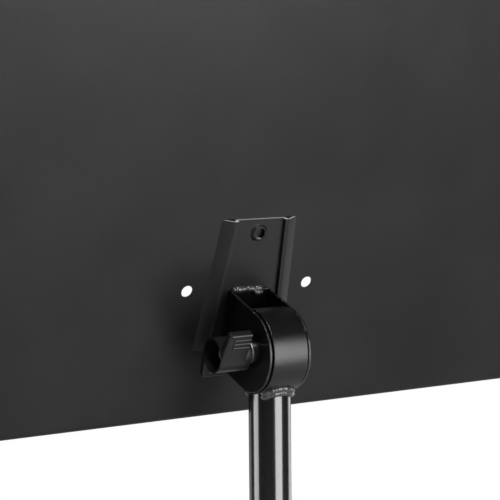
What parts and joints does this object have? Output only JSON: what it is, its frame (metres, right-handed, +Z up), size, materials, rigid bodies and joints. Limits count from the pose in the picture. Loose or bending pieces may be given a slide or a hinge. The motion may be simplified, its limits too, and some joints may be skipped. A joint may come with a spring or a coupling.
{
  "type": "music stand",
  "caption": "Free-standing music stand: tilting sheet-metal desk with a bottom ledge on a telescoping mast, wing-knob clamps and a three-legged base.",
  "frame": {"origin": "on the floor under the axis of the mast", "axes": "+Z up the mast, -Y towards the player, +Y behind the desk, +X towards the tilt knob"},
  "size_m": [0.5088, 0.4418, 1.2955],
  "materials": {
    "desk_powder": "black fine-texture powder coat",
    "hinge_powder": "satin black powder coat",
    "tube_gloss": "gloss black enamel",
    "weld_metal": "painted weld bead",
    "zinc_steel": "zinc plated",
    "knob_plastic": "moulded dark grey nylon",
    "fibre_washer": "black vulcanised fibre",
    "nylon_black": "black nylon",
    "cast_black": "black painted casting",
    "brass": "turned brass",
    "foot_rubber": "black rubber"
  },
  "bodies": {
    "base": {"lower_tube": "hinge_powder", "height_collar": "cast_black", "collar_rivets": "zinc_steel", "base_hub": "cast_black", "leg_bolts": "zinc_steel", "leg_front": "hinge_powder", "leg_left": "hinge_powder", "leg_right": "hinge_powder", "foot_front": "foot_rubber", "foot_left": "foot_rubber", "foot_right": "foot_rubber"},
    "sleeve": {"guide_sleeve": "nylon_black"},
    "mast": {"upper_tube": "tube_gloss", "tube_foot_bush": "nylon_black", "tilt_barrel": "hinge_powder", "barrel_bush_knob_side": "nylon_black", "barrel_bush_head_side": "nylon_black", "barrel_weld": "weld_metal"},
    "desk": {"desk_panel": "desk_powder", "desk_bracket": "desk_powder", "hinge_yoke": "hinge_powder", "yoke_weld": "weld_metal", "clamp_bolt": "zinc_steel", "friction_washer_knob_side": "fibre_washer", "friction_washer_head_side": "fibre_washer"},
    "tilt_washer": {"knob_washer": "zinc_steel"},
    "tilt_knob": {"tilt_knob": "knob_plastic", "tilt_knob_nut": "zinc_steel"},
    "height_shoe": {"clamp_shoe": "brass"},
    "height_knob": {"height_stud": "zinc_steel", "height_knob": "knob_plastic", "height_knob_nut": "zinc_steel"}
  },
  "joints": [
    {"name": "mast_swivel", "type": "hinge", "parent": "base", "child": "sleeve", "pos_m": [0, 0, 0.6], "axis": [0, 0, 1], "continuous": true},
    {"name": "height_slide", "type": "slide", "parent": "sleeve", "child": "mast", "axis": [0, 0, 1], "range_m": [-0.3, 0.2]},
    {"name": "desk_tilt", "type": "hinge", "parent": "mast", "child": "desk", "pos_m": [0, 0, 1.02], "axis": [-1, 0, 0], "range_deg": [-19.3, 70.7]},
    {"name": "tilt_clamp", "type": "slide", "parent": "desk", "child": "tilt_washer", "axis": [1, 0, 0], "range_m": [0, 0.0019]},
    {"name": "tilt_knob_turn", "type": "hinge", "parent": "tilt_washer", "child": "tilt_knob", "pos_m": [0.0154, 0, 1.02], "axis": [-1, 0, 0], "range_deg": [0, 540]},
    {"name": "height_clamp", "type": "slide", "parent": "base", "child": "height_shoe", "axis": [0, 1, 0], "range_m": [0, 0.0019]},
    {"name": "height_knob_turn", "type": "hinge", "parent": "height_shoe", "child": "height_knob", "pos_m": [0, 0.0365, 0.62], "axis": [0, -1, 0], "range_deg": [0, 540]}
  ],
  "couplings": [
    {"joint": "tilt_clamp", "follows": "tilt_knob_turn", "m_per_rad": 0.00019894},
    {"joint": "height_clamp", "follows": "height_knob_turn", "m_per_rad": 0.00019894}
  ]
}
